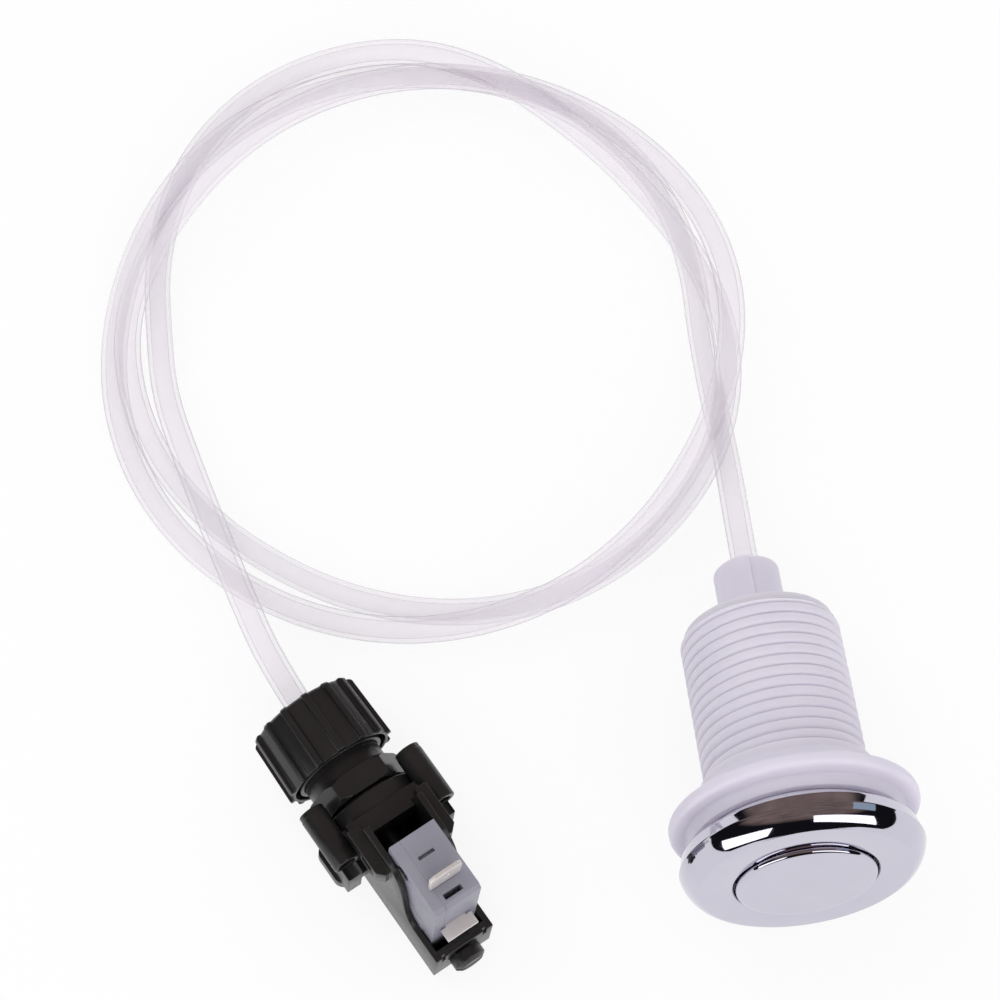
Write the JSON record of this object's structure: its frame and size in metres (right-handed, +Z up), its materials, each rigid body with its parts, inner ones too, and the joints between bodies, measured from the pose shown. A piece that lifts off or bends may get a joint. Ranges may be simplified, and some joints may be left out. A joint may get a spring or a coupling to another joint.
{
  "type": "spa air switch",
  "caption": "Air-operated push button switch: chrome button in a threaded white body, coiled clear air tube and a black module with a grey snap switch, lying on a table.",
  "frame": {"origin": "on the surface it lies on, below the middle of the box around the button and the module, without the tube", "axes": "+Z up from the surface, +X along the row from the module to the button, +Y towards the coil"},
  "size_m": [0.1699, 0.2091, 0.049],
  "materials": {
    "white_plastic": "gloss",
    "chrome": "polished",
    "black_plastic": "satin",
    "grey_plastic": "satin",
    "clear_tube": "clear",
    "white_rubber": "matt",
    "black_rubber": "matt",
    "spring_steel": "drawn",
    "tinned_brass": "bright"
  },
  "bodies": {
    "base": {"button_housing": "white_plastic", "bezel_trim": "chrome", "sealing_gasket": "white_rubber", "lock_nut": "white_plastic", "rear_cap": "white_plastic", "bellows": "black_rubber", "return_spring": "spring_steel", "button_hose": "clear_tube", "tube_coil": "clear_tube", "switch_hose": "clear_tube", "fluted_nut": "black_plastic", "ferrule": "black_plastic", "inlet_housing": "black_plastic", "diaphragm": "black_rubber", "switch_bracket": "black_plastic"},
    "button": {"push_button": "chrome"},
    "pusher": {"pusher": "black_plastic"},
    "switch": {"switch_case": "grey_plastic", "switch_cover": "grey_plastic", "contact_blade": "tinned_brass", "common_terminal": "tinned_brass", "output_terminal": "tinned_brass"},
    "plunger": {"switch_plunger": "black_plastic"},
    "knob": {"adjusting_knob": "black_plastic"}
  },
  "joints": [
    {"name": "button_press", "type": "slide", "parent": "base", "child": "button", "axis": [-0.1152, 0.9732, -0.1989], "range_m": [0, 0.0045], "stiffness_N_per_m": 700, "springref_m": -0.003, "deforming": ["bellows", "return_spring"]},
    {"name": "pusher_slide", "type": "slide", "parent": "base", "child": "pusher", "axis": [0.5763, -0.817, -0.0189], "range_m": [0, 0.0009], "deforming": ["diaphragm"]},
    {"name": "plunger_slide", "type": "slide", "parent": "switch", "child": "plunger", "axis": [0.5763, -0.817, -0.0189], "range_m": [0, 0.0009], "deforming": ["contact_blade"]},
    {"name": "knob_turn", "type": "hinge", "parent": "base", "child": "knob", "pos_m": [-0.02301, -0.03723, 0.0057], "axis": [-0.5763, 0.817, 0.0189], "range_deg": [-180, 180]},
    {"name": "switch_rock", "type": "hinge", "parent": "base", "child": "switch", "pos_m": [-0.03029, -0.02401, 0.02722], "axis": [0.8138, 0.5759, -0.0784], "range_deg": [-0.6, 0.6]}
  ],
  "couplings": [
    {"joint": "pusher_slide", "follows": "button_press", "ratio": 0.2},
    {"joint": "plunger_slide", "follows": "button_press", "ratio": 0.2},
    {"joint": "switch_rock", "follows": "knob_turn", "ratio": 0.0033333}
  ]
}
